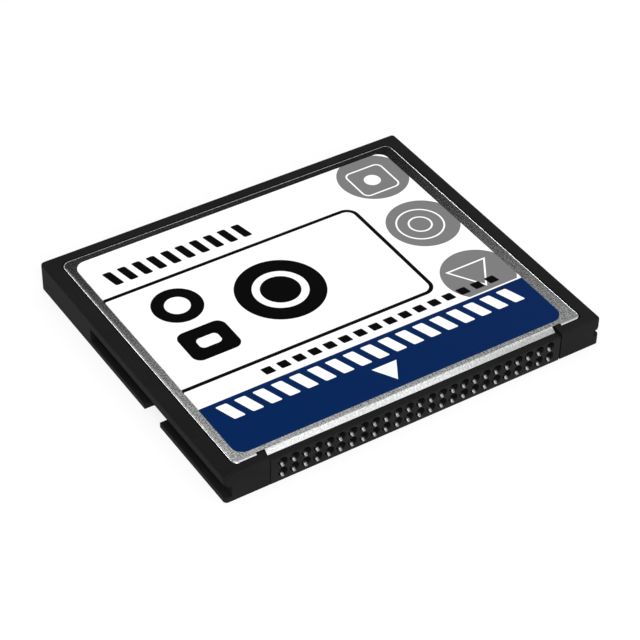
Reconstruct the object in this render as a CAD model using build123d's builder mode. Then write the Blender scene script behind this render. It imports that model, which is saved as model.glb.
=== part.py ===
"""Compact flash card: a moulded frame with keyed side grooves, two stamped steel covers, a
fifty-way socket connector and the circuit board between them.

Millimetres. X runs along the connector, Y runs back from its face, Z is up. The card lies on
its bottom cover at Z = 0, and the origin is below the middle of the card.
"""

import os

from build123d import *

os.makedirs("parts", exist_ok=True)

# Moulded frame, over its outside
card_width = 42.8
card_length = 36.4
frame_thickness = 3.3
frame_corner_radius = 0.4
frame_edge_radius = 0.3
frame_foot_chamfer = 0.05
rail_width = 2.1
rear_wall = 2.05

# Guide grooves, open at the connector end, one wide and one narrow so that the card is keyed
groove_depth = 0.76
groove_length = 25.78
groove_end_radius = 0.3
left_groove_floor = 0.63
left_groove_height = 1.6
right_groove_floor = 1.14
right_groove_height = 1.01
notch_start = 12.0
notch_length = 3.0
notch_depth = 1.14
notch_corner_radius = 0.25

# Stamped steel covers
sheet_thickness = 0.2
cover_proud = 0.05
cover_width = 39.6
cover_back_margin = 1.35
cover_front_margin = 1.05
cover_back_radius = 0.9
cover_front_radius = 0.6
cover_bend_radius = 0.2
flange_depth = 0.7
cover_gap = 0.1
relief_width = 34.7
relief_depth = 0.3

# Lip of the top cover, bent down over the connector
lip_width = 32.76
lip_run = 0.48
lip_drop = 0.36
lip_bend_radius = 0.35
lip_overlap = 0.5
lip_clearance = 0.04

# Label
label_width = 37.2
label_length = 32.1
label_offset_x = -0.27
label_offset_y = -0.06
label_thickness = 0.08
label_corner_radius = 1.2

# Connector housing
housing_width = 33.2
housing_depth = 6.8
housing_seam = 0.04
housing_shoulder = 0.4
housing_edge_radius = 0.12
wing_reach = 0.7
wing_length = 2.0
wing_setback = 2.7

# Sockets and their contacts
socket_columns = 25
socket_rows = 2
socket_pitch = 1.27
socket_sides = 12
socket_radius = 0.47
socket_mouth_radius = 0.55
contact_width = 0.34
contact_thickness = 0.12
contact_setback = 0.05
contact_clearance = 0.01
contact_rise = 0.16
contact_crest = 0.45
tail_jog = 0.5
tail_length = 1.1

# Circuit board and what carries it
board_thickness = 0.6
board_gap = 0.15
board_setback = 0.8
shelf_width = 0.7
boss_size = 2.4
peg_diameter = 0.9
peg_height = 0.9
peg_clearance = 0.1

# Insulating films inside the covers
film_thickness = 0.08
film_margin = 0.3

# Chip packages
chip_standoff = 0.08
chip_thickness = 0.95
chip_edge_chamfer = 0.08
lead_thickness = 0.12
lead_width = 0.22
lead_pitch = 0.5
lead_reach = 0.8
flash_width = 12.0
flash_length = 18.4
flash_leads = 24
flash_x = -9.5
flash_y = 3.2
controller_size = 10.0
controller_x = 8.5
controller_y = 3.2

# Small parts
small_part_length = 1.0
small_part_width = 0.5
capacitor_height = 0.5
resistor_height = 0.35
end_length = 0.25
small_part_pitch_x = 2.2
small_part_pitch_y = 1.6
capacitor_columns = 3
capacitor_rows = 2
resistor_columns = 3
resistor_rows = 2
capacitors_x = 3.2
resistors_x = 11.5
small_parts_y = 6.5
bulk_length = 3.2
bulk_width = 1.6
bulk_height = 0.95
bulk_end_length = 0.4
bulk_x = 3.5
bulk_y = -3.0
detector_length = 2.9
detector_width = 1.3
detector_height = 0.95
detector_lead_width = 0.4
detector_lead_reach = 0.55
detector_lead_spacing = 1.9
detector_x = 11.5
detector_y = -3.0

# Levels and places that follow from the sizes above
front_y = -card_length / 2
back_y = card_length / 2
side_x = card_width / 2
frame_bottom_z = cover_proud
frame_top_z = frame_bottom_z + frame_thickness
card_top_z = frame_top_z + cover_proud
mid_z = card_top_z / 2
top_inside_z = card_top_z - sheet_thickness
bottom_inside_z = sheet_thickness
board_top_z = mid_z + board_thickness / 2
board_bottom_z = mid_z - board_thickness / 2
cover_front_y = front_y + cover_front_margin
cover_back_y = back_y - cover_back_margin
cover_mid_y = (cover_front_y + cover_back_y) / 2
relief_y = cover_front_y + relief_depth
housing_back_y = front_y + housing_depth
cavity_x = side_x - rail_width
cavity_y = back_y - rear_wall
board_front_y = housing_back_y + board_setback
board_back_y = cavity_y - board_gap
board_mid_y = (board_front_y + board_back_y) / 2
row_z = [mid_z - socket_pitch / 2, mid_z + socket_pitch / 2]
column_x = [(i - (socket_columns - 1) / 2) * socket_pitch for i in range(socket_columns)]
contact_drop = (socket_radius**2 - (contact_width / 2) ** 2) ** 0.5 - contact_clearance
wing_y = front_y + wing_setback + wing_length / 2
peg_x = cavity_x - boss_size / 2
peg_y = cavity_y - boss_size / 2


def save(part, name):
    """Labels a finished piece and writes its file."""
    part.label = name
    export_step(part, f"parts/{name}.step")


def cover_plan(grow):
    """Outline of the covers seen from above, moved outwards all round by grow."""
    with BuildSketch() as plan:
        with Locations((0, cover_mid_y)):
            Rectangle(cover_width + 2 * grow, cover_back_y - cover_front_y + 2 * grow)
        fillet(plan.vertices().group_by(Axis.Y)[-1], cover_back_radius + grow)
        fillet(plan.vertices().group_by(Axis.Y)[0], cover_front_radius + grow)
    return plan.sketch


def relief_plan(grow):
    """Cut in the middle of the covers' front edge, made smaller all round by grow."""
    with BuildSketch() as plan:
        with Locations((0, relief_y - grow)):
            Rectangle(relief_width - 2 * grow, card_length, align=(Align.CENTER, Align.MAX))
    return plan.sketch


# Covers: a shallow tray with bent edges, the bottom one a mirror image of the top one
with BuildPart() as tray:
    with BuildSketch(Plane.XY.offset(card_top_z - flange_depth)):
        add(cover_plan(0))
    extrude(amount=flange_depth)
    fillet(tray.edges().group_by(Axis.Z)[-1], cover_bend_radius)
    with BuildSketch(Plane.XY.offset(card_top_z - flange_depth)):
        add(cover_plan(-sheet_thickness))
    extrude(amount=flange_depth - sheet_thickness, mode=Mode.SUBTRACT)
    with BuildSketch(Plane.XY.offset(card_top_z - flange_depth)):
        add(relief_plan(0))
    extrude(amount=flange_depth, mode=Mode.SUBTRACT)

lip_bend_z = card_top_z - sheet_thickness / 2
with BuildPart() as top_cover:
    add(tray.part)
    with BuildSketch(Plane.YZ):
        with BuildLine():
            FilletPolyline(
                (relief_y + lip_overlap, lip_bend_z),
                (relief_y, lip_bend_z),
                (relief_y - lip_run, lip_bend_z - lip_drop),
                radius=lip_bend_radius,
            )
        trace(line_width=sheet_thickness)
    extrude(amount=lip_width / 2, both=True)
save(top_cover.part, "top_cover")

with BuildPart() as bottom_cover:
    add(mirror(tray.part, about=Plane.XY.offset(mid_z), mode=Mode.PRIVATE))
save(bottom_cover.part, "bottom_cover")

with BuildPart() as label:
    with BuildSketch(Plane.XY.offset(card_top_z)):
        with Locations((label_offset_x, cover_mid_y + label_offset_y)):
            RectangleRounded(label_width, label_length, label_corner_radius)
    extrude(amount=label_thickness)
save(label.part, "label")

# Insulating films, stuck inside the covers between the frame's shelves and bosses
for name, level in (
    ("upper_insulator", top_inside_z - film_thickness),
    ("lower_insulator", bottom_inside_z),
):
    with BuildPart() as film:
        with BuildSketch(Plane.XY.offset(level)):
            with Locations((0, housing_back_y + film_margin)):
                Rectangle(
                    2 * (cavity_x - shelf_width - film_margin),
                    cavity_y - boss_size - housing_back_y - 2 * film_margin,
                    align=(Align.CENTER, Align.MIN),
                )
        extrude(amount=film_thickness)
    save(film.part, name)

# Frame: a U of two grooved rails and a rear wall, with an ear at each side of the connector
with BuildPart() as frame:
    with BuildSketch(Plane.XY.offset(frame_bottom_z)):
        Rectangle(card_width, card_length)
    extrude(amount=frame_thickness)
    fillet(frame.edges().filter_by(Axis.Z), frame_corner_radius)
    fillet(frame.faces().sort_by(Axis.Z)[-1].edges(), frame_edge_radius)
    chamfer(frame.faces().sort_by(Axis.Z)[0].edges(), frame_foot_chamfer)

    # cavity for the board, and the bay that takes the connector
    with BuildSketch(Plane.XY.offset(frame_bottom_z)):
        with Locations((0, housing_back_y)):
            Rectangle(2 * cavity_x, cavity_y - housing_back_y, align=(Align.CENTER, Align.MIN))
        with Locations((0, front_y)):
            Rectangle(
                housing_width + 2 * housing_seam,
                housing_depth,
                align=(Align.CENTER, Align.MIN),
            )
    extrude(amount=frame_thickness, mode=Mode.SUBTRACT)

    # shelf under the board's edges, with a pegged boss in each rear corner
    with BuildSketch(Plane.XY.offset(bottom_inside_z)):
        with Locations((0, housing_back_y)):
            Rectangle(2 * cavity_x, cavity_y - housing_back_y, align=(Align.CENTER, Align.MIN))
            Rectangle(
                2 * (cavity_x - shelf_width),
                cavity_y - shelf_width - housing_back_y,
                align=(Align.CENTER, Align.MIN),
                mode=Mode.SUBTRACT,
            )
        with Locations((cavity_x, cavity_y)):
            Rectangle(boss_size, boss_size, align=(Align.MAX, Align.MAX))
        with Locations((-cavity_x, cavity_y)):
            Rectangle(boss_size, boss_size, align=(Align.MIN, Align.MAX))
    extrude(amount=board_bottom_z - bottom_inside_z)
    with BuildSketch(Plane.XY.offset(board_bottom_z)):
        with Locations((peg_x, peg_y), (-peg_x, peg_y)):
            Circle(peg_diameter / 2)
    extrude(amount=peg_height)

    # seats for the two covers and the grooves that their bent edges drop into
    for level, away in ((top_inside_z, 1), (bottom_inside_z, -1)):
        with BuildSketch(Plane.XY.offset(level)):
            add(cover_plan(cover_gap))
            add(relief_plan(cover_gap), mode=Mode.SUBTRACT)
        extrude(amount=away * (sheet_thickness + cover_proud), mode=Mode.SUBTRACT)
        with BuildSketch(Plane.XY.offset(level)):
            add(cover_plan(cover_gap))
            add(cover_plan(-sheet_thickness - cover_gap), mode=Mode.SUBTRACT)
            add(relief_plan(cover_gap), mode=Mode.SUBTRACT)
        extrude(amount=-away * (flange_depth - sheet_thickness + cover_gap), mode=Mode.SUBTRACT)

    # keyed guide grooves
    for side, floor, height in (
        (-1, left_groove_floor, left_groove_height),
        (1, right_groove_floor, right_groove_height),
    ):
        groove_z = frame_bottom_z + floor + height / 2
        with BuildSketch(Plane.YZ.offset(side * side_x)) as groove:
            with Locations((front_y, groove_z)):
                Rectangle(groove_length, height, align=(Align.MIN, Align.CENTER))
            fillet(groove.vertices().group_by(Axis.Y)[-1], groove_end_radius)
        extrude(amount=-side * groove_depth, mode=Mode.SUBTRACT)
        # notch through the lip below the groove
        with BuildSketch(Plane.XY.offset(frame_bottom_z)) as notch:
            with Locations((side * side_x, front_y + notch_start)):
                Rectangle(2 * notch_depth, notch_length, align=(Align.CENTER, Align.MIN))
            fillet(notch.vertices(), notch_corner_radius)
        extrude(amount=floor, mode=Mode.SUBTRACT)

    # channels in the ears for the connector's wings
    with BuildSketch(Plane.XY.offset(bottom_inside_z)):
        with Locations((0, wing_y)):
            Rectangle(
                housing_width + 2 * (wing_reach + housing_seam),
                wing_length + 2 * housing_seam,
            )
    extrude(amount=top_inside_z - bottom_inside_z, mode=Mode.SUBTRACT)
save(frame.part, "frame")

# Connector housing: one long block, stepped under the covers, drilled with the sockets
lip_slope = lip_drop / lip_run
lip_length = (lip_run**2 + lip_drop**2) ** 0.5
lip_tip_y = relief_y - lip_run - sheet_thickness / 2 * lip_drop / lip_length
lip_heel_y = relief_y - lip_run + sheet_thickness / 2 * lip_drop / lip_length
lip_heel_z = lip_bend_z - lip_drop - sheet_thickness / 2 * lip_run / lip_length
slot_floor_z = lip_heel_z - lip_clearance
strip_z = card_top_z - housing_shoulder
slope_foot_y = lip_heel_y + lip_clearance
slope_head_y = slope_foot_y + (top_inside_z - slot_floor_z) / lip_slope
with BuildPart() as housing:
    with BuildSketch(Plane.YZ):
        with BuildLine():
            Polyline(
                (front_y, 0),
                (front_y, strip_z),
                (lip_tip_y - lip_clearance, strip_z),
                (lip_tip_y - lip_clearance, slot_floor_z),
                (slope_foot_y, slot_floor_z),
                (slope_head_y, top_inside_z),
                (housing_back_y, top_inside_z),
                (housing_back_y, bottom_inside_z),
                (relief_y - cover_gap, bottom_inside_z),
                (relief_y - cover_gap, 0),
                close=True,
            )
        make_face()
    extrude(amount=housing_width / 2, both=True)
    front_edges = housing.faces().sort_by(Axis.Y)[0].edges().filter_by(Axis.X)
    fillet(front_edges, housing_edge_radius)
    with BuildSketch(Plane.XY.offset(bottom_inside_z)):
        with Locations((0, wing_y)):
            Rectangle(housing_width + 2 * wing_reach, wing_length)
    extrude(amount=top_inside_z - bottom_inside_z)
    for radius, depth, lead_in in (
        (socket_radius, housing_depth, 0),
        (socket_mouth_radius, socket_mouth_radius - socket_radius, 45),
    ):
        with BuildSketch(Plane.XZ.offset(-front_y)):
            with Locations((0, mid_z)):
                with GridLocations(socket_pitch, socket_pitch, socket_columns, socket_rows):
                    RegularPolygon(radius, socket_sides, major_radius=False)
        extrude(amount=-depth, taper=lead_in, mode=Mode.SUBTRACT)
save(housing.part, "connector_housing")

# Contacts: a strip on the floor of each socket, with a crest for the pin and a tail on the board
for name, axis_z, tail_z in (
    ("upper_contacts", row_z[1], board_top_z + contact_thickness / 2),
    ("lower_contacts", row_z[0], board_bottom_z - contact_thickness / 2),
):
    floor_z = axis_z - contact_drop + contact_thickness / 2
    tip_y = front_y + contact_setback
    with BuildPart() as contacts:
        with BuildSketch(*[Plane.YZ.offset(x) for x in column_x]):
            with BuildLine():
                Polyline(
                    (tip_y, floor_z),
                    (tip_y + contact_crest, floor_z + contact_rise),
                    (housing_back_y, floor_z),
                    (housing_back_y + tail_jog, tail_z),
                    (board_front_y + tail_length, tail_z),
                )
            trace(line_width=contact_thickness)
        extrude(amount=contact_width / 2, both=True)
    save(contacts.part, name)

# Circuit board, seated on the shelf with the frame's pegs through it
with BuildPart() as board:
    with BuildSketch(Plane.XY.offset(board_bottom_z)) as board_plan:
        with Locations((0, board_mid_y)):
            Rectangle(2 * (cavity_x - board_gap), board_back_y - board_front_y)
        with Locations((peg_x, peg_y), (-peg_x, peg_y)):
            Circle(peg_diameter / 2 + peg_clearance, mode=Mode.SUBTRACT)
    extrude(amount=board_thickness)
save(board.part, "circuit_board")


def chip_body(name, x, y, width, length, side, standoff):
    """Moulded package on the board's top (side 1) or underside (side -1)."""
    base_z = mid_z + side * (board_thickness / 2 + standoff)
    with BuildPart() as body:
        with BuildSketch(Plane.XY.offset(base_z)):
            with Locations((x, y)):
                Rectangle(width, length)
        extrude(amount=side * chip_thickness)
        outer = body.faces().sort_by(Axis.Z)[-1 if side > 0 else 0]
        chamfer(outer.edges(), chip_edge_chamfer)
    save(body.part, name)


def lead_plan(half, base):
    """Section of a pair of bent leads, one at each side of a package half wide, on level base."""
    level = mid_z + base * board_thickness / 2
    top = level + base * (chip_standoff + chip_thickness / 2)
    with BuildSketch() as section:
        with BuildLine():
            Polyline(
                (half, top),
                (half + lead_thickness, top),
                (half + lead_thickness, level + base * lead_thickness),
                (half + lead_reach, level + base * lead_thickness),
                (half + lead_reach, level),
                (half, level),
                close=True,
            )
        make_face()
        mirror(about=Plane.YZ)
    return section.sketch


lead_x = [flash_x + (i - (flash_leads - 1) / 2) * lead_pitch for i in range(flash_leads)]
lead_planes = [Plane(origin=(x, flash_y, 0), x_dir=(0, 1, 0), z_dir=(1, 0, 0)) for x in lead_x]
for name, side in (("upper_flash", 1), ("lower_flash", -1)):
    chip_body(f"{name}_chip", flash_x, flash_y, flash_width, flash_length, side, chip_standoff)
    with BuildPart() as leads:
        with BuildSketch(*lead_planes):
            add(lead_plan(flash_length / 2, side))
        extrude(amount=lead_width / 2, both=True)
    save(leads.part, f"{name}_leads")

chip_body("controller_chip", controller_x, controller_y, controller_size, controller_size, 1, 0)


def small_parts(name, x, y, columns, rows, size, metal_length):
    """Block of like parts under the board, centred on (x, y): their bodies and their metal ends."""
    length, width, height = size
    body_length = length - 2 * metal_length
    with BuildPart() as bodies:
        with BuildSketch(Plane.XY.offset(board_bottom_z)):
            with Locations((x, y)):
                with GridLocations(small_part_pitch_x, small_part_pitch_y, columns, rows):
                    Rectangle(body_length, width)
        extrude(amount=-height)
    save(bodies.part, f"{name}_bodies")
    with BuildPart() as ends:
        with BuildSketch(Plane.XY.offset(board_bottom_z)):
            with Locations((x, y)):
                with GridLocations(small_part_pitch_x, small_part_pitch_y, columns, rows):
                    with GridLocations(body_length + metal_length, 0, 2, 1):
                        Rectangle(metal_length, width)
        extrude(amount=-height)
    save(ends.part, f"{name}_ends")


small_parts(
    "capacitor",
    capacitors_x,
    small_parts_y,
    capacitor_columns,
    capacitor_rows,
    (small_part_length, small_part_width, capacitor_height),
    end_length,
)
small_parts(
    "resistor",
    resistors_x,
    small_parts_y,
    resistor_columns,
    resistor_rows,
    (small_part_length, small_part_width, resistor_height),
    end_length,
)
small_parts(
    "bulk_capacitor", bulk_x, bulk_y, 1, 1, (bulk_length, bulk_width, bulk_height), bulk_end_length
)

# Voltage detector: a small moulded body with two leads at one side and one at the other
with BuildPart() as detector:
    with BuildSketch(Plane.XY.offset(board_bottom_z - chip_standoff)):
        with Locations((detector_x, detector_y)):
            Rectangle(detector_length, detector_width)
    extrude(amount=-detector_height)
    chamfer(detector.faces().sort_by(Axis.Z)[0].edges(), chip_edge_chamfer)
save(detector.part, "voltage_detector")

detector_side = [(detector_x - detector_lead_spacing / 2, 1), (detector_x + detector_lead_spacing / 2, 1)]
with BuildPart() as detector_leads:
    for x, away in (*detector_side, (detector_x, -1)):
        with BuildSketch(Plane.YZ.offset(x)):
            with BuildLine():
                foot = board_bottom_z - lead_thickness
                neck = board_bottom_z - chip_standoff - detector_height / 2
                near = detector_y + away * detector_width / 2
                bend = near + away * lead_thickness
                toe = near + away * detector_lead_reach
                Polyline(
                    (near, neck),
                    (bend, neck),
                    (bend, foot),
                    (toe, foot),
                    (toe, board_bottom_z),
                    (near, board_bottom_z),
                    close=True,
                )
            make_face()
        extrude(amount=detector_lead_width / 2, both=True)
save(detector_leads.part, "detector_leads")
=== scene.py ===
"""Compact flash card on a pale floor: finishes for the modelled parts, studio light and camera."""

import math

import bpy
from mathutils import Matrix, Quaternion, Vector


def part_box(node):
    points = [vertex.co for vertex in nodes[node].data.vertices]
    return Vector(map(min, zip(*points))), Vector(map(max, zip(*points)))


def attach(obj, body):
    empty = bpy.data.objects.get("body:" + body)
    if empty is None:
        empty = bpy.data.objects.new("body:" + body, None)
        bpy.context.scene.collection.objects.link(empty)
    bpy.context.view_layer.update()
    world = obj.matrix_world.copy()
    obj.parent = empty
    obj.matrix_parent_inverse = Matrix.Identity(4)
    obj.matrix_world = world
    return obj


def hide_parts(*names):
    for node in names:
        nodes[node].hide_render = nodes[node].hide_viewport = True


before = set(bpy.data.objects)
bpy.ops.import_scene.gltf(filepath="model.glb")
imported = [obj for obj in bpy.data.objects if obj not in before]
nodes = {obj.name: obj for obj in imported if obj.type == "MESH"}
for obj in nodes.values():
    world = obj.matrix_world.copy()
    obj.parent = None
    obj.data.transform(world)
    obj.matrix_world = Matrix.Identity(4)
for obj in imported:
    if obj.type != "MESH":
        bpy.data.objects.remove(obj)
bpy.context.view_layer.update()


def box(name):
    """A modelled node's low and high corners, in millimetres."""
    return [[value * 1000 for value in corner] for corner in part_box(name)]


# The label's middle, the front of the cover's lip and the height midway between the covers' outer
# faces, in millimetres
label_low, label_high = box("label")
label_x = (label_low[0] + label_high[0]) / 2
label_y = (label_low[1] + label_high[1]) / 2
cover_low, cover_high = box("top_cover")
lip_y = cover_low[1]
middle_z = (box("bottom_cover")[0][2] + cover_high[2]) / 2


# ------------------------------------------------------------------ finishes

class Amount:
    """A socket that carries a number or a colour, on which sums can be written."""

    def __init__(self, finish, socket):
        self.finish = finish
        self.socket = socket

    def __add__(self, other):
        return self.finish.math("ADD", self, other)

    def __sub__(self, other):
        return self.finish.math("SUBTRACT", self, other)

    def __rsub__(self, other):
        return self.finish.math("SUBTRACT", other, self)

    def __mul__(self, other):
        return self.finish.math("MULTIPLY", self, other)

    def __mod__(self, other):
        return self.finish.math("FLOORED_MODULO", self, other)

    def __abs__(self):
        return self.finish.math("ABSOLUTE", self)

    def at_least(self, other):
        return self.finish.math("MAXIMUM", self, other)

    def at_most(self, other):
        return self.finish.math("MINIMUM", self, other)

    __radd__ = __add__
    __rmul__ = __mul__


class Finish:
    """A material or world under construction: its node tree, and the few kinds of node it needs."""

    def __init__(self, name, owner=None):
        self.owner = owner or bpy.data.materials.new(name)
        self.owner.use_nodes = True
        self.tree = self.owner.node_tree
        self.tree.nodes.clear()

    def node(self, kind, settings=None, inputs=None, output=0):
        """Adds a node, makes its settings, then gives its sockets their values or links."""
        made = self.tree.nodes.new(kind)
        for name, value in (settings or {}).items():
            if name == "stops":
                ramp = made.color_ramp
                while len(ramp.elements) < len(value):
                    ramp.elements.new(1)
                for stop, (position, colour) in zip(ramp.elements, value):
                    stop.position = position
                    stop.color = colour
            else:
                setattr(made, name, value)
        for name, value in (inputs or {}).items():
            if isinstance(value, Amount):
                self.tree.links.new(value.socket, made.inputs[name])
            else:
                made.inputs[name].default_value = value
        return Amount(self, made.outputs[output]) if made.outputs else None

    def math(self, operation, *values, clamp=False):
        settings = {"operation": operation, "use_clamp": clamp}
        return self.node("ShaderNodeMath", settings, dict(enumerate(values)))

    def mix(self, amount, first, second):
        """Blends two colours."""
        inputs = {0: amount, 6: first, 7: second}
        return self.node("ShaderNodeMix", {"data_type": "RGBA"}, inputs, output=2)

    def place(self):
        """Where a point lies on the object, as a vector."""
        return self.node("ShaderNodeTexCoord", output="Object")

    def millimetres(self):
        """Where a point lies on the object: its X, Y and Z in millimetres."""
        split = self.node("ShaderNodeSeparateXYZ", inputs={0: self.place()}).socket.node
        return [Amount(self, split.outputs[i]) * 1000 for i in range(3)]

    def grain(self, size, detail=2.0, roughness=0.5, stretch=(1, 1, 1), distortion=0.0):
        """Noise from 0 to 1 whose features are about size millimetres across."""
        scaled = self.node("ShaderNodeMapping", inputs={0: self.place(), "Scale": stretch})
        inputs = {
            "Vector": scaled,
            "Scale": 1000 / size,
            "Detail": detail,
            "Roughness": roughness,
            "Distortion": distortion,
        }
        return self.node("ShaderNodeTexNoise", inputs=inputs)

    def spread(self, amount, low, high, to_low=0.0, to_high=1.0):
        """Stretches the range low to high over to_low to to_high."""
        inputs = {"Value": amount, 1: low, 2: high, 3: to_low, 4: to_high}
        return self.node("ShaderNodeMapRange", inputs=inputs)

    def bump(self, height, depth):
        """Raises the surface by up to depth millimetres where height is 1."""
        inputs = {"Height": height, "Distance": depth / 1000}
        return self.node("ShaderNodeBump", inputs=inputs)

    def surface(self, **inputs):
        """Ends the material in a Principled surface with these inputs."""
        named = {name.replace("_", " "): value for name, value in inputs.items()}
        self.node_out(self.node("ShaderNodeBsdfPrincipled", inputs=named))
        return self.owner

    def node_out(self, shader):
        self.node("ShaderNodeOutputMaterial", inputs={"Surface": shader})


def dress(material, *names):
    """Gives modelled nodes a finish."""
    for name in names:
        slots = nodes[name].data.materials
        slots.clear()
        slots.append(material)


def grey(value):
    return (value, value, value, 1)


def moulded_plastic(name, colour, texture_size, texture_depth, roughness, gloss):
    """Black moulded plastic with a fine eroded texture and faint flow marks."""
    finish = Finish(name)
    flow_size = 6
    texture_share, flow_share = 0.8, 0.5
    texture = finish.grain(texture_size, detail=3, roughness=0.6)
    flow = finish.grain(flow_size, distortion=0.6)
    tone = (texture - 0.5) * texture_share + (flow - 0.5) * flow_share + 0.5
    shade = finish.mix(finish.spread(tone, 0.2, 0.8), grey(colour * 0.6), grey(colour * 1.4))
    rough = finish.spread(texture, 0.3, 0.7, roughness - 0.05, roughness + 0.07)
    return finish.surface(
        Base_Color=shade,
        Roughness=rough + (flow - 0.5) * 0.08,
        Specular_IOR_Level=gloss,
        Normal=finish.bump(texture, texture_depth),
    )


def satin_steel():
    """Stamped stainless sheet: a fine speckled satin with faint rolling lines along the card, drawn
    smoother where the front lip is bent down."""
    finish = Finish("satin_steel")
    speckle_share, rolling_share, cloud_share = 2.3, 0.7, 0.15
    speckle = (finish.grain(0.17, roughness=0.7) - 0.5) * speckle_share
    rolling = (finish.grain(0.16, stretch=(1, 0.15, 1)) - 0.5) * rolling_share
    cloud = (finish.grain(5, detail=3) - 0.5) * cloud_share

    # from the bend to the flat sheet behind it, the grain grows to its full depth
    bend_y, sheet_y = lip_y + 0.4, lip_y + 0.8
    depth_at_bend = 0.3
    drawn = finish.spread(finish.millimetres()[1], bend_y, sheet_y, depth_at_bend, 1.0)
    tone = (speckle + rolling) * drawn + cloud + 0.5
    shade = finish.mix(finish.spread(tone, 0.15, 0.85), grey(0.24), (0.89, 0.9, 0.905, 1))
    return finish.surface(
        Base_Color=shade,
        Metallic=1.0,
        Roughness=finish.spread(tone, 0.2, 0.8, 0.1, 0.05),
        Normal=finish.bump(tone, 0.0019),
    )


# ------------------------------------------------------------------ printed label

class Print:
    """The label's print, laid down in inks over its paper. Places are millimetres from its middle,
    and each shape is the distance to its edge, below zero inside it."""

    # the width over which an ink's edge fades
    edge = 0.025

    def __init__(self, finish, paper):
        self.finish = finish
        across, along, _ = finish.millimetres()
        self.x = across - label_x
        self.y = along - label_y
        self.colour = paper

    def ink(self, distance, colour):
        """Prints where a distance is below zero."""
        cover = self.finish.math("MULTIPLY_ADD", distance, -1 / self.edge, 0.5, clamp=True)
        self.colour = self.finish.mix(cover, self.colour, colour)

    def length(self, a, b):
        return self.finish.math("SQRT", a * a + b * b)

    def disc(self, x, y, radius):
        return self.length(self.x - x, self.y - y) - radius

    def ring(self, x, y, radius, line):
        return abs(self.disc(x, y, radius)) - line / 2

    def block(self, x, y, width, height, radius, across=None):
        """Rectangle with rounded corners, placed by the label's own X or by another."""
        a = abs((across or self.x) - x) - (width / 2 - radius)
        b = abs(self.y - y) - (height / 2 - radius)
        outside = self.length(a.at_least(0), b.at_least(0))
        return outside + a.at_least(b).at_most(0) - radius

    def outline(self, x, y, width, height, radius, line):
        return abs(self.block(x, y, width, height, radius)) - line / 2

    def row(self, start, pitch, count, y, width, height, radius, lean):
        """Row of equal leaning bars."""
        along = self.x - start + (self.y - y) * lean
        bars = self.block(pitch / 2, y, width, height, radius, across=along % pitch)
        ends = abs(along - pitch * count / 2) - pitch * count / 2
        return bars.at_least(ends)

    def triangle(self, x, y, width, height):
        """Triangle that points to the front, with its base centred on (x, y)."""
        side = math.hypot(height, width / 2)
        slopes = (abs(self.x - x) - width / 2) * (height / side) - (self.y - y) * (width / 2 / side)
        return slopes.at_least(self.y - y)


def printed_label():
    """White coated paper printed with a blue band, a black outline, grey discs and plain shapes."""
    finish = Finish("printed_label")
    white = grey(0.87)
    black = grey(0.0004)
    blue = (0.0002, 0.0144, 0.078, 1)
    disc_grey = grey(0.17)
    sheet = Print(finish, white)

    # three grey discs down the right-hand side, each with an outline on it
    disc_x, disc_radius = 15.27, 3.86
    sign_x, sign_size, fine_line = 14.93, 4.35, 0.19
    for y in (12.79, 3.45, -6.27):
        sheet.ink(sheet.disc(disc_x, y, disc_radius), disc_grey)
    sheet.ink(sheet.outline(sign_x, 12.37, sign_size, sign_size, 0.7, fine_line), white)
    sheet.ink(sheet.disc(sign_x, 12.37, 0.9), white)
    for radius in (2.47, 1.2):
        sheet.ink(sheet.ring(sign_x, 3.46, radius, fine_line), white)
    sheet.ink(abs(sheet.triangle(sign_x, -4.55, 4.55, 3.55)) - fine_line / 2, white)

    # blue band along the connector, with a white edge, an arrow and a row of bars
    band_y, white_edge = -9.03, 0.18
    sheet.ink(sheet.y - (band_y + white_edge), white)
    sheet.ink(sheet.y - band_y, blue)
    sheet.ink(sheet.triangle(-0.46, -12.81, 2.82, 2.38), white)
    sheet.ink(sheet.row(-17.2, 2.01, 17, -10.73, 1.19, 2.28, 0.15, lean=0.35), white)

    # outline that runs off the left edge
    bold_line = 0.45
    sheet.ink(sheet.outline(-9.87, 1.685, 40.26, 15.49, 1.2, bold_line), black)

    # large disc with a ring in it, then a smaller ring over a block with a hole
    target_x, target_y = -2.87, 1.98
    left_x, block_y = -12.8, -1.0
    sheet.ink(sheet.disc(target_x, target_y, 4.65), black)
    sheet.ink(sheet.ring(target_x, target_y, 2.47, 0.8), white)
    sheet.ink(sheet.ring(left_x, 5.15, 1.98, 1.33), black)
    sheet.ink(sheet.block(left_x, block_y, 5.35, 4.55, 1.0), black)
    sheet.ink(sheet.block(left_x, block_y, 2.4, 1.5, 0.5), white)

    # rows of bars above and below the outline
    sheet.ink(sheet.row(-17.0, 1.65, 10, 12.12, 0.94, 2.28, 0.2, lean=0.2), black)
    sheet.ink(sheet.row(-11.1, 1.74, 16, -7.7, 1.09, 1.0, 0.12, lean=0.2), black)

    weave = finish.grain(0.25, detail=3, roughness=0.6)
    return finish.surface(
        Base_Color=sheet.colour,
        Roughness=finish.spread(weave, 0.3, 0.7, 0.45, 0.55),
        Specular_IOR_Level=0.025,
        Normal=finish.bump(weave, 0.002),
    )


def plated_contact():
    """Matt plated spring strip, a little dull along its grain."""
    finish = Finish("plated_contact")
    grain = finish.grain(0.2, stretch=(1, 0.2, 1))
    return finish.surface(
        Base_Color=finish.mix(grain, (0.25, 0.245, 0.24, 1), (0.37, 0.365, 0.355, 1)),
        Metallic=1.0,
        Roughness=finish.spread(grain, 0.3, 0.7, 0.48, 0.6),
    )


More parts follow.
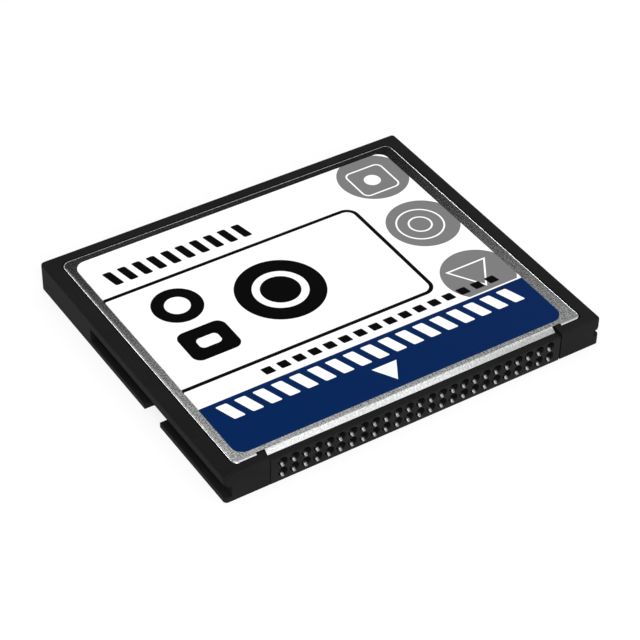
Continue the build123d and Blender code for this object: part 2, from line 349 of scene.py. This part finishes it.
def plain_finish(name, low, high, size, roughness, metallic=0.0):
    """A small inner part's finish: a colour that drifts a little, with a fine surface."""
    finish = Finish(name)
    drift = finish.grain(size, detail=3)
    return finish.surface(
        Base_Color=finish.mix(finish.spread(drift, 0.3, 0.7), (*low, 1), (*high, 1)),
        Metallic=metallic,
        Roughness=finish.spread(drift, 0.3, 0.7, roughness - 0.06, roughness + 0.06),
        Normal=finish.bump(drift, 0.004),
    )


dress(moulded_plastic("frame_plastic", 0.01, 0.11, 0.004, 0.52, 0.02), "frame")
dress(satin_steel(), "top_cover", "bottom_cover")
dress(printed_label(), "label")
dress(
    plain_finish("amber_film", (0.42, 0.24, 0.05), (0.5, 0.3, 0.07), 2.0, 0.3),
    "upper_insulator",
    "lower_insulator",
)
dress(
    plain_finish("green_laminate", (0.008, 0.09, 0.035), (0.012, 0.13, 0.05), 0.8, 0.3),
    "circuit_board",
)
dress(
    plain_finish("package_plastic", (0.016, 0.016, 0.017), (0.024, 0.024, 0.025), 0.15, 0.55),
    "upper_flash_chip",
    "lower_flash_chip",
    "controller_chip",
    "voltage_detector",
    "resistor_bodies",
)
dress(
    plain_finish("tinned_metal", (0.62, 0.62, 0.63), (0.78, 0.78, 0.78), 0.2, 0.3, metallic=1.0),
    "upper_flash_leads",
    "lower_flash_leads",
    "detector_leads",
    "capacitor_ends",
    "resistor_ends",
    "bulk_capacitor_ends",
)
dress(
    plain_finish("tan_ceramic", (0.38, 0.25, 0.15), (0.47, 0.32, 0.2), 0.3, 0.45),
    "capacitor_bodies",
    "bulk_capacitor_bodies",
)


# ------------------------------------------------------------------ connector

# All in millimetres. The sockets lie in two rows, one pitch apart, about the card's middle height.
front = box("connector_housing")[0][1]
socket_pitch = 1.27
socket_radius = 0.5
sockets_in_row = 25
first_socket_x = -socket_pitch * (sockets_in_row - 1) / 2
upper_axis_z = middle_z + socket_pitch / 2
lower_axis_z = middle_z - socket_pitch / 2


def begin(add, name, **sizes):
    """Adds a primitive with nothing else selected, and names it."""
    bpy.ops.object.select_all(action="DESELECT")
    add(**sizes)
    made = bpy.context.object
    made.name = name
    return made


def settle(piece):
    """Puts a piece's place, turn and size into its mesh."""
    bpy.ops.object.select_all(action="DESELECT")
    piece.select_set(True)
    bpy.context.view_layer.objects.active = piece
    bpy.ops.object.transform_apply(location=True, rotation=True, scale=True)


def pick(piece, kind, wanted):
    """Opens a piece for editing with those of its faces or edges selected that pass a test. The
    test is given the middle in millimetres, and a face's normal or an edge's run."""
    bpy.ops.object.mode_set(mode="EDIT")
    bpy.ops.mesh.select_mode(type=kind)
    bpy.ops.mesh.select_all(action="DESELECT")
    bpy.ops.object.mode_set(mode="OBJECT")
    if kind == "FACE":
        for face in piece.data.polygons:
            face.select = wanted(face.center * 1000, face.normal)
    else:
        points = piece.data.vertices
        for edge in piece.data.edges:
            first, last = (points[i].co * 1000 for i in edge.vertices)
            edge.select = wanted((first + last) / 2, last - first)
    bpy.ops.object.mode_set(mode="EDIT")


def faces_back(middle, normal):
    return normal.y > 0.9


def faces_front(middle, normal):
    return normal.y < -0.9


def pull(y, z):
    """Extrudes the selected end by a step, in millimetres."""
    bpy.ops.mesh.extrude_region_move(TRANSFORM_OT_translate={"value": (0, y / 1000, z / 1000)})


def modify(piece, kind, **settings):
    """Gives a piece a modifier and applies it."""
    bpy.context.view_layer.objects.active = piece
    made = piece.modifiers.new(kind.lower(), kind)
    for name, value in settings.items():
        setattr(made, name, value)
    bpy.ops.object.modifier_apply(modifier=made.name)


def bar(name, *spans):
    """Rectangular bar between two values of each coordinate, in millimetres."""
    piece = begin(
        bpy.ops.mesh.primitive_cube_add,
        name,
        size=1,
        location=[(low + high) / 2000 for low, high in spans],
        scale=[(high - low) / 1000 for low, high in spans],
    )
    settle(piece)
    return piece


def rod(name, sides, radius, length, x, y, z):
    """Cylinder along Y with its middle at a place, all in millimetres."""
    piece = begin(
        bpy.ops.mesh.primitive_cylinder_add,
        name,
        vertices=sides,
        radius=radius / 1000,
        depth=length / 1000,
        location=(x / 1000, y / 1000, z / 1000),
        rotation=(math.pi / 2, 0, 0),
    )
    settle(piece)
    return piece


def combine(piece, operation, tool):
    """Joins a tool piece to a piece, or cuts it out, and clears the tool away."""
    modify(piece, "BOOLEAN", operation=operation, object=tool, solver="EXACT")
    bpy.data.objects.remove(tool)


def rank(piece, count, axis):
    """Copies a piece at the socket pitch along an axis."""
    step = [0, 0, 0]
    step[axis] = socket_pitch / 1000
    modify(
        piece,
        "ARRAY",
        count=count,
        use_relative_offset=False,
        use_constant_offset=True,
        constant_offset_displace=step,
    )


def socket_block():
    """Connector block: rounded front edges, a slot for the cover's lip with a slope behind it, a
    wing at each end, and two rows of round sockets with flared mouths."""
    (low_x, low_y, low_z), (high_x, high_y, high_z) = box("connector_housing")
    width = (low_x, high_x)
    wing_reach = 0.75
    wing_front, wing_back = low_y + 2.7, low_y + 4.7
    edge_radius = 0.12
    rebate = 0.2
    upper_rebate_end, lower_rebate_start = lip_y - 0.04, low_y + 1.25
    slot_front, slot_back, slot_depth = lip_y - 0.05, lip_y + 0.16, 0.38
    slope_length = 0.507
    # how far a cutter stands out of the block where it cuts right through
    spare = 1

    body_width = (low_x + wing_reach, high_x - wing_reach)
    piece = bar("socket_block", body_width, (low_y, high_y), (low_z, high_z))
    above = (high_z - rebate, high_z + spare)
    combine(piece, "DIFFERENCE", bar("cutter", width, (low_y - spare, upper_rebate_end), above))

    def front_edge(middle, run):
        """One of the four edges, each over a millimetre long, round the front face."""
        return middle.y < low_y + 0.001 and max(abs(run.x), abs(run.z)) > 1

    pick(piece, "EDGE", front_edge)
    bpy.ops.mesh.bevel(offset=edge_radius / 1000, segments=4, affect="EDGES")
    bpy.ops.object.mode_set(mode="OBJECT")

    slot = bar("cutter", width, (slot_front, slot_back), (high_z - slot_depth, high_z + spare))
    pick(slot, "FACE", faces_back)
    pull(slope_length, slot_depth)
    bpy.ops.object.mode_set(mode="OBJECT")
    combine(piece, "DIFFERENCE", slot)

    below = (low_z - spare, low_z + rebate)
    combine(piece, "DIFFERENCE", bar("cutter", width, (lower_rebate_start, high_y + spare), below))
    wings = bar("wings", width, (wing_front, wing_back), (low_z + rebate, high_z))
    combine(piece, "UNION", wings)

    # the drill starts wide in front of the block and narrows through its face
    mouth_radius, flare_length, start_length = socket_radius + 0.06, 0.09, 0.1
    narrower = socket_radius / mouth_radius
    start_y = low_y - start_length
    drill = rod("drill", 28, mouth_radius, start_length, first_socket_x, start_y, lower_axis_z)
    pick(drill, "FACE", faces_back)
    pull(flare_length, 0)
    bpy.ops.transform.resize(value=(narrower, 1, narrower))
    pull(high_y - low_y + spare, 0)
    bpy.ops.object.mode_set(mode="OBJECT")
    rank(drill, sockets_in_row, axis=0)
    rank(drill, 2, axis=2)
    combine(piece, "DIFFERENCE", drill)

    settle(piece)
    bpy.ops.object.shade_smooth_by_angle(angle=math.radians(30))
    return piece


def spring_contacts(name, axis_z, tail_z):
    """Row of plated springs: each has a nose at its socket's mouth, a slope up to a crest that the
    pin rides over, and a tail that lies on the board."""
    # points of the strip: how far behind the block's front, and how far over the socket's axis
    strip = (
        (0.03, -0.49), (0.09, -0.42), (0.19, -0.33), (0.26, -0.32), (0.48, -0.4),
        (0.9, -0.42), (2.2, -0.2), (3.6, -0.3), (6.8, -0.37),
    )
    tail = ((7.3, tail_z), (8.7, tail_z))
    line = [(y, axis_z + rise) for y, rise in strip] + list(tail)
    half_width, flatness = 0.16, 0.36
    start_length = 0.04
    nose_length, nose_drop = 0.04, 0.02

    y, z = line[0]
    start_y = front + y - start_length / 2
    piece = rod(name, 8, half_width, start_length, first_socket_x, start_y, z)
    pick(piece, "FACE", lambda middle, normal: True)
    centre = (first_socket_x / 1000, (front + y) / 1000, z / 1000)
    bpy.ops.transform.resize(value=(1, 1, flatness), center_override=centre)
    pick(piece, "FACE", faces_back)
    for (from_y, from_z), (to_y, to_z) in zip(line, line[1:]):
        pull(to_y - from_y, to_z - from_z)
    pick(piece, "FACE", faces_front)
    pull(-nose_length, -nose_drop)
    bpy.ops.transform.resize(value=(0.75, 1, 0.6))
    bpy.ops.mesh.select_all(action="SELECT")
    bpy.ops.mesh.normals_make_consistent(inside=False)
    bpy.ops.object.mode_set(mode="OBJECT")
    rank(piece, sockets_in_row, axis=0)
    bpy.ops.object.shade_smooth_by_angle(angle=math.radians(50))
    return piece


def fit(piece, finish, modelled):
    """Finishes a new piece of the card and puts it in place of a modelled node."""
    piece.data.materials.clear()
    piece.data.materials.append(finish)
    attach(piece, "root")
    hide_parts(modelled)


block_plastic = moulded_plastic("connector_plastic", 0.009, 0.2, 0.003, 0.48, 0.045)
fit(socket_block(), block_plastic, "connector_housing")

plating = plated_contact()
board_low, board_high = box("circuit_board")
half_strip = 0.06
upper_springs = spring_contacts("upper_springs", upper_axis_z, board_high[2] + half_strip)
fit(upper_springs, plating, "upper_contacts")
lower_springs = spring_contacts("lower_springs", lower_axis_z, board_low[2] - half_strip)
fit(lower_springs, plating, "lower_contacts")


# ------------------------------------------------------------------ studio

def pale_floor():
    """White floor: it shows white to the eye and in reflections, and keeps a soft shadow."""
    bpy.ops.mesh.primitive_plane_add(size=4, location=(0, 0, 0))
    floor = bpy.context.object
    floor.name = "floor"
    finish = Finish("pale_floor")
    rays = finish.node("ShaderNodeLightPath").socket.node.outputs
    seen = Amount(finish, rays["Is Camera Ray"])
    for kind in ("Is Glossy Ray", "Is Transmission Ray"):
        seen = seen.at_least(Amount(finish, rays[kind]))
    white_share = 0.8
    matt = finish.node("ShaderNodeBsdfDiffuse", inputs={"Color": grey(0.9)})
    bright = finish.node("ShaderNodeEmission", inputs={"Color": grey(1.0), "Strength": 1.0})
    blend = finish.node("ShaderNodeMixShader", inputs={0: seen * white_share, 1: matt, 2: bright})
    finish.node_out(blend)
    floor.data.materials.append(finish.owner)


def studio_sky():
    """Light from the room, in bands of brightness from the horizon up to a point overhead that
    leans to the front."""
    sky = bpy.data.worlds.new("studio_sky")
    bpy.context.scene.world = sky
    finish = Finish("studio_sky", sky)
    way = finish.node("ShaderNodeTexCoord", output="Generated")
    top = Vector((0.03, -0.39, 1)).normalized()
    dot = {"operation": "DOT_PRODUCT"}
    height = finish.node("ShaderNodeVectorMath", dot, {0: way, 1: top}, output="Value")
    levels = (
        (0.0, 0.95), (0.06, 0.95), (0.1, 0.8), (0.2, 0.05), (0.28, 0.004),
        (0.322, 0.004), (0.338, 0.038), (0.362, 0.155), (0.39, 0.335), (0.405, 0.45),
        (0.422, 0.6), (0.46, 0.78), (0.475, 1.3), (0.505, 1.3), (0.52, 0.45),
        (0.7, 0.45), (0.72, 1.6), (0.825, 1.6), (0.845, 0.6), (0.868, 0.8),
        (0.887, 1.35), (0.905, 1.5), (0.93, 1.6), (0.95, 0.8), (1.0, 0.5),
    )
    brightest = max(level for _, level in levels)
    stops = [(position, grey(level / brightest)) for position, level in levels]
    colour = finish.node("ShaderNodeValToRGB", {"stops": stops}, {0: height.at_least(0)})
    light = finish.node("ShaderNodeBackground", inputs={"Color": colour, "Strength": brightest})
    finish.node("ShaderNodeOutputWorld", inputs={"Surface": light})


def lamp(name, place, size, power):
    """Round lamp that faces the card."""
    bpy.ops.object.light_add(type="AREA", location=place)
    made = bpy.context.object
    made.name = name
    made.data.shape = "DISK"
    made.data.size = size
    made.data.energy = power
    made.rotation_euler = (-Vector(place)).to_track_quat("-Z", "Y").to_euler()


def camera():
    """Long lens, from the front left and forty degrees up, set to the photograph."""
    azimuth, elevation, roll = math.radians(-33.21), math.radians(40.138), math.radians(1.04)
    # the camera's place from the card's middle, along its own axes, in millimetres
    right, up, distance = 0.35, -0.5105, 217.637
    aim_z = 0.05
    focal_pixels, picture_pixels, sensor = 2175.011, 640, 36
    turn = (
        Quaternion((0, 0, 1), azimuth)
        @ Quaternion((1, 0, 0), math.pi / 2 - elevation)
        @ Quaternion((0, 0, 1), roll)
    )
    centre = turn @ Vector((right, up, distance)) + Vector((0, 0, aim_z))
    bpy.ops.object.camera_add(location=centre / 1000)
    made = bpy.context.object
    made.name = "camera"
    made.rotation_euler = turn.to_euler()
    made.data.sensor_width = sensor
    made.data.lens = focal_pixels * sensor / picture_pixels
    made.data.clip_start = 0.01
    made.data.clip_end = 20
    bpy.context.scene.camera = made


pale_floor()
studio_sky()
lamp("key_lamp", (-0.2, -0.43, 0.42), 0.35, 1.9)
lamp("front_lamp", (-0.03, -0.5, 0.13), 0.25, 0.95)
lamp("right_rim_lamp", (0.43, 0.32, 0.14), 0.14, 0.25)
lamp("left_rim_lamp", (-0.38, 0.35, 0.2), 0.14, 0.15)
camera()
bpy.context.scene.view_settings.view_transform = "Standard"
